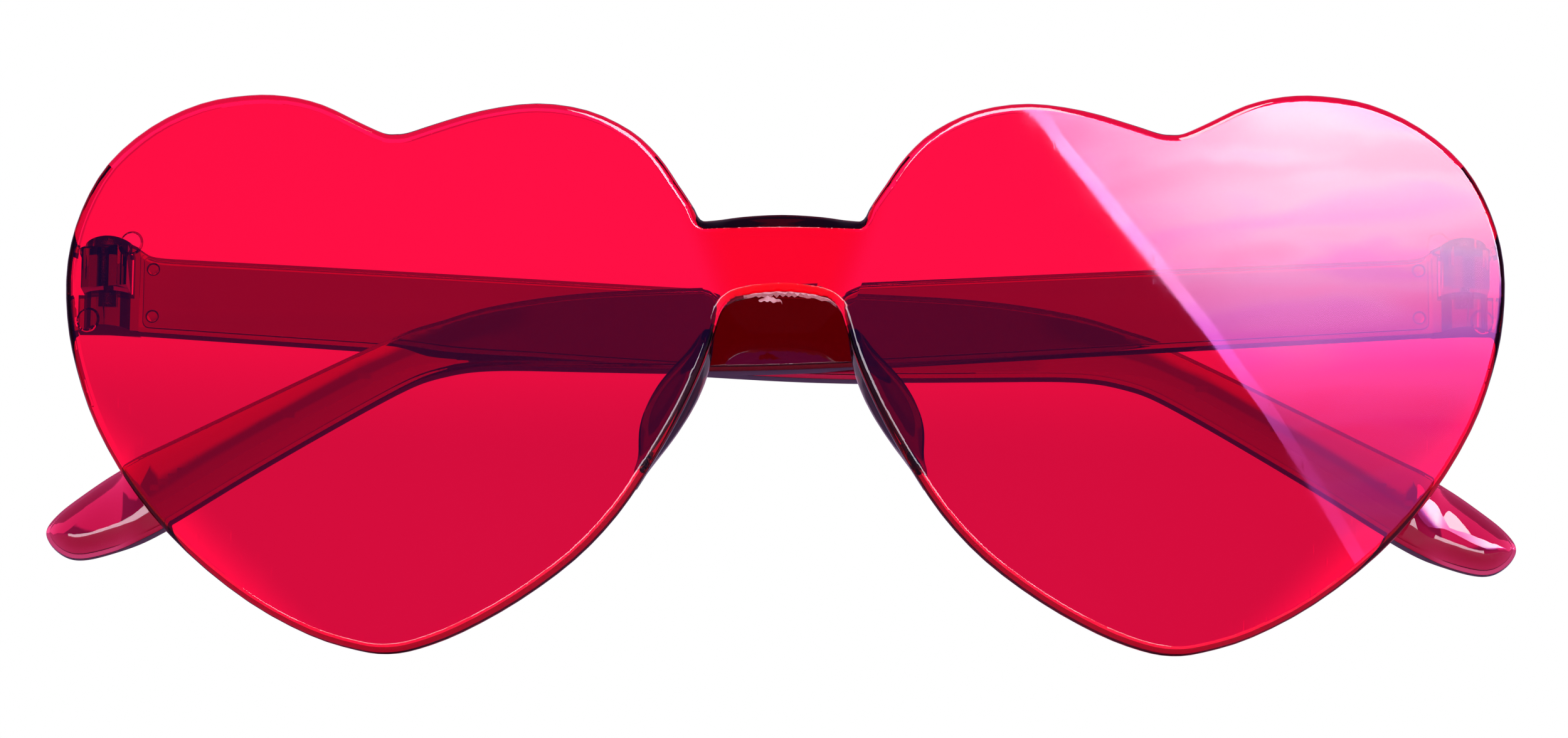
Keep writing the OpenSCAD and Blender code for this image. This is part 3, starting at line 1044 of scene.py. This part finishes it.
def studio_world(name, room_hex, dark_hex, behind_hex):
    """White all round for the camera and for what is seen straight through the plastic. Low
    down behind the sunglasses, where they shade what they lie on, it is a little greyer, and
    beside the front, behind the arms' tips, it is brighter. What the plastic and steel reflect
    is a dim room."""
    world = bpy.data.worlds.new(name)
    world.use_nodes = True
    tree = world.node_tree
    tree.nodes.clear()
    way = add(tree, "LightPath")
    aim = add(tree, "TexCoord").outputs["Generated"]
    aim = add(tree, "SeparateXYZ", [("Vector", aim)])
    # A slanting line on each side of the middle, which is 0.024 off, parts the grey, 0.75,
    # from the brighter zone, 2.1
    aside = add(tree, "Math", [(0, aim.outputs["X"]), (1, 0.024)], operation="ADD")
    aside = add(tree, "Math", [(0, aside)], operation="ABSOLUTE")
    corner = add(tree, "Math", [(0, aside), (1, aim.outputs["Z"])], operation="SUBTRACT")
    beside = add(tree, "MapRange", [("Value", corner)], From_Min=-0.122, From_Max=-0.1,
                 To_Min=0.75, To_Max=2.1, interpolation_type="SMOOTHSTEP")
    # The lenses take a tenth of the light by reflection, so white behind them is 1.14
    white = 1.14
    rise = add(tree, "MapRange", [("Value", aim.outputs["Z"]), ("To Min", beside)],
               From_Min=0.212, From_Max=0.24, To_Max=white, interpolation_type="SMOOTHSTEP")
    level = add(tree, "MapRange", [("Value", aim.outputs["Z"])], From_Min=0.06, From_Max=0.14,
                To_Min=white, To_Max=0.0, interpolation_type="SMOOTHSTEP")
    behind = add(tree, "Math", [(0, rise), (1, level)], operation="MAXIMUM")
    through = add(tree, "Mix", [("Factor", way.outputs["Is Transmission Ray"]), ("A", 1.0),
                                ("B", behind)], data_type="FLOAT").outputs["Result"]
    studio = add(tree, "Background", [("Strength", through)], Color=(1, 1, 1, 1))
    bounced = add(tree, "Math", [(0, way.outputs["Glossy Depth"]), (1, 0.5)],
                  operation="GREATER_THAN")
    depth = add(tree, "MapRange", [("Value", aim.outputs["Y"])], From_Min=-1.0, From_Max=1.0)
    tint = colour_ramp(tree, depth, ((0.12, room_hex), (0.4, dark_hex), (0.65, dark_hex),
                                     (0.9, behind_hex)))
    room = add(tree, "Background", [("Color", tint)])
    seen = add(tree, "MixShader", [(0, bounced), (1, studio), (2, room)])
    add(tree, "OutputWorld", [("Surface", seen)])
    return world


def floor_material(name, hex_code):
    """Matt off-white board. It is seen only from above, because the camera looks up past it,
    and it fades into the white round it."""
    material, tree = new_material(name)
    spot = add(tree, "TexCoord").outputs["Object"]
    flat = add(tree, "VectorMath", [(0, spot), (1, (1, 1, 0))], operation="MULTIPLY")
    away = add(tree, "VectorMath", [(0, flat)], operation="LENGTH").outputs["Value"]
    fade = add(tree, "MapRange", [("Value", away)],
               From_Min=0.35, From_Max=1.3, interpolation_type="SMOOTHSTEP")
    under = add(tree, "NewGeometry").outputs["Backfacing"]
    gone = add(tree, "Math", [(0, fade), (1, under)], operation="MAXIMUM")
    board = add(tree, "BsdfPrincipled", Base_Color=linear(hex_code), Roughness=0.8)
    mix = add(tree, "MixShader", [(0, gone), (1, board), (2, add(tree, "BsdfTransparent"))])
    add(tree, "OutputMaterial", [("Surface", mix)])
    return material


def softbox_cloth(name, strength):
    """A softbox's cloth with its lamp behind its top right corner. The light is a pale lilac
    there, bluer to the left, and falls off down to violet. The cloth is a little uneven."""
    material, tree = new_material(name)
    spot = add(tree, "TexCoord").outputs["Object"]
    aim = add(tree, "VectorMath", [(0, spot)], operation="NORMALIZE")
    aim = add(tree, "SeparateXYZ", [("Vector", aim)])
    height = add(tree, "MapRange", [("Value", aim.outputs["Z"])], From_Min=0.16, From_Max=0.28)
    colour = colour_ramp(tree, height, (
        (0.0, "5e2259"), (0.25, "6d2a6b"), (0.4, "8c499a"), (0.5, "bb6abd"),
        (0.6, "cf8fcb"), (0.78, "e9c9e6"), (1.0, "f7e8fa")))
    side = add(tree, "MapRange", [("Value", aim.outputs["X"])],
               From_Min=0.15, From_Max=0.52, interpolation_type="SMOOTHSTEP")
    cool = colour_ramp(tree, side, ((0.0, "f5b6ff"), (1.0, "ffffff")))
    # Folds in the cloth, 160 mm long and 9 mm high
    fold = add(tree, "Mapping", [("Vector", spot)], Scale=(6.0, 6.0, 110.0))
    folds = add(tree, "TexNoise", [("Vector", fold)], Scale=1.0, Detail=2.0, Distortion=0.5)
    uneven = colour_ramp(tree, folds, ((0.35, "ffeaef"), (0.5, "ffffff"), (0.65, "f1e7ff")))
    for tint in (cool, uneven):
        colour = add(tree, "Mix", [("Factor", 1.0), ("A", colour), ("B", tint)],
                     data_type="RGBA", blend_type="MULTIPLY").outputs["Result"]
    power = add(tree, "MapRange", [("Value", side)], To_Min=0.5 * strength, To_Max=strength)
    cloth = add(tree, "Emission", [("Color", colour), ("Strength", power)])
    add(tree, "OutputMaterial", [("Surface", cloth)])
    return material


def strip_cloth(name, hex_code, strength):
    """The evenly lit white cloth of a strip light."""
    material, tree = new_material(name)
    glow = add(tree, "Emission", Color=linear(hex_code), Strength=strength)
    add(tree, "OutputMaterial", [("Surface", glow)])
    return material


def add_light(name, bm, cloth):
    """A lamp's cloth that shows in reflections and lights nothing else."""
    bmesh.ops.scale(bm, vec=(MM, MM, MM), verts=bm.verts)
    light = made_object(name, bm)
    light.data.materials.append(cloth)
    for way in ("camera", "diffuse", "transmission", "volume_scatter", "shadow"):
        setattr(light, "visible_" + way, False)


LIGHT_DISTANCE = 700

# Where the camera's rays go after the wearer's left lens has reflected them along the slanting
# edge of the bright reflection
SOFTBOX_EDGE = ((60, -700, 236), (172, -660, 200), (230, -647, 179), (286, -628, 158),
                (329, -603, 137), (360, -574, 116), (400, -530, 84))


def add_softbox():
    """The large softbox that the wearer's left lens reflects. A brighter lip, just before it,
    runs down its edge."""
    for name, nearer, far, cloth in (
            ("softbox lip", 0.985, (8, 5, 0.5), softbox_cloth("Softbox lip", 29.0)),
            ("softbox", 1, (450, 260, 90), softbox_cloth("Softbox cloth", 19.4))):
        bm = bmesh.new()
        line = [bm.verts.new(nearer * Vector(corner)) for corner in SOFTBOX_EDGE]
        chain = [bm.edges.new(pair) for pair in zip(line, line[1:])]
        made = bmesh.ops.extrude_edge_only(bm, edges=chain)["geom"]
        bmesh.ops.translate(bm, vec=far, verts=only(BMVert, made))
        add_light(name, bm, cloth)


def add_strip(name, turn, rise, size, hex_code, strength):
    """A flat strip light that faces the front, turned to the side and raised by degrees."""
    bm = bmesh.new()
    turned = Matrix.Rotation(math.radians(turn), 4, "Z")
    raised = Matrix.Rotation(math.radians(-rise), 4, "X")
    upright = Matrix.Rotation(math.radians(90), 4, "X")
    place = turned @ raised @ Matrix.Translation((0, -LIGHT_DISTANCE, 0)) @ upright
    bmesh.ops.create_grid(bm, size=0.5, matrix=place @ Matrix.Diagonal((*size, 1, 1)))
    add_light(name, bm, strip_cloth(name + " cloth", hex_code, strength))


# The photograph's camera stands 700 mm off and 13 degrees below the front's normal
CAMERA_AIM = Vector((0.35, -1.2, -8.1))
CAMERA_DISTANCE = 700
CAMERA_AZIMUTH = math.radians(1.35)
CAMERA_ELEVATION = math.radians(-13)
CAMERA_ROLL = math.radians(0.4)
CAMERA_LENS = 157.6


def add_camera():
    data = bpy.data.cameras.new("camera")
    data.lens = CAMERA_LENS
    data.sensor_width = 36
    camera = bpy.data.objects.new("camera", data)
    bpy.context.scene.collection.objects.link(camera)
    level = math.cos(CAMERA_ELEVATION)
    back = Vector((math.sin(CAMERA_AZIMUTH) * level, -math.cos(CAMERA_AZIMUTH) * level,
                   math.sin(CAMERA_ELEVATION)))
    camera.location = (CAMERA_AIM + back * CAMERA_DISTANCE) * MM
    camera.rotation_mode = "QUATERNION"
    aimed = (-back).to_track_quat("-Z", "Y")
    camera.rotation_quaternion = aimed @ Matrix.Rotation(CAMERA_ROLL, 3, "Z").to_quaternion()
    bpy.context.scene.camera = camera


def add_floor(hex_code):
    """A round floor just under the front, seen from above only."""
    bm = bmesh.new()
    bmesh.ops.create_circle(bm, cap_ends=True, segments=96, radius=1600)
    bmesh.ops.translate(bm, vec=(0, 0, FRONT_LOW.z - 0.05), verts=bm.verts)
    bmesh.ops.scale(bm, vec=(MM, MM, MM), verts=bm.verts)
    for f in bm.faces:
        if f.normal.z < 0:
            f.normal_flip()
    floor = made_object("floor", bm)
    floor.data.materials.append(floor_material("Floor board", hex_code))


class SUNGLASSES_OT_stage(bpy.types.Operator):
    """Set up the floor, the white studio, its softbox and strip lights, and the camera"""
    bl_idname = "sunglasses.stage"
    bl_label = "Stage"

    def execute(self, context):
        scene = context.scene
        finishes = scene.sunglasses.finishes
        scene.view_settings.view_transform = "Standard"
        scene.world = studio_world("White studio", finishes.room, finishes.dark, finishes.behind)
        add_camera()
        add_floor(finishes.floor)
        add_softbox()
        add_strip("High light", 8, 38, (290, 500), finishes.strip, 14.0)
        add_strip("Low light", -8, 1.5, (800, 106), finishes.strip, 8.0)
        return {"FINISHED"}


class SUNGLASSES_PT_panel(bpy.types.Panel):
    bl_label = "Heart Shaped Sunglasses"
    bl_idname = "SUNGLASSES_PT_panel"
    bl_space_type = "VIEW_3D"
    bl_region_type = "UI"
    bl_category = "Sunglasses"

    def draw(self, context):
        column = self.layout.column()
        for operator in OPERATORS:
            column.operator(operator.bl_idname)
        settings = context.scene.sunglasses
        for group in (settings.front, settings.arms, settings.screws, settings.finishes):
            box = column.box()
            for name in group.__annotations__:
                box.prop(group, name)


GROUPS = (FrontSizes, ArmSizes, ScrewSizes, Finishes, Sunglasses)
OPERATORS = (SUNGLASSES_OT_stage, SUNGLASSES_OT_front, SUNGLASSES_OT_arms, SUNGLASSES_OT_screws)
CLASSES = (*GROUPS, *OPERATORS, SUNGLASSES_PT_panel)


def register():
    for cls in CLASSES:
        bpy.utils.register_class(cls)
    bpy.types.Scene.sunglasses = PointerProperty(type=Sunglasses)


def unregister():
    del bpy.types.Scene.sunglasses
    for cls in reversed(CLASSES):
        bpy.utils.unregister_class(cls)


def main():
    register()
    bpy.ops.sunglasses.stage()
    bpy.ops.sunglasses.front()
    bpy.ops.sunglasses.arms()
    bpy.ops.sunglasses.screws()


if __name__ == "__main__":
    main()
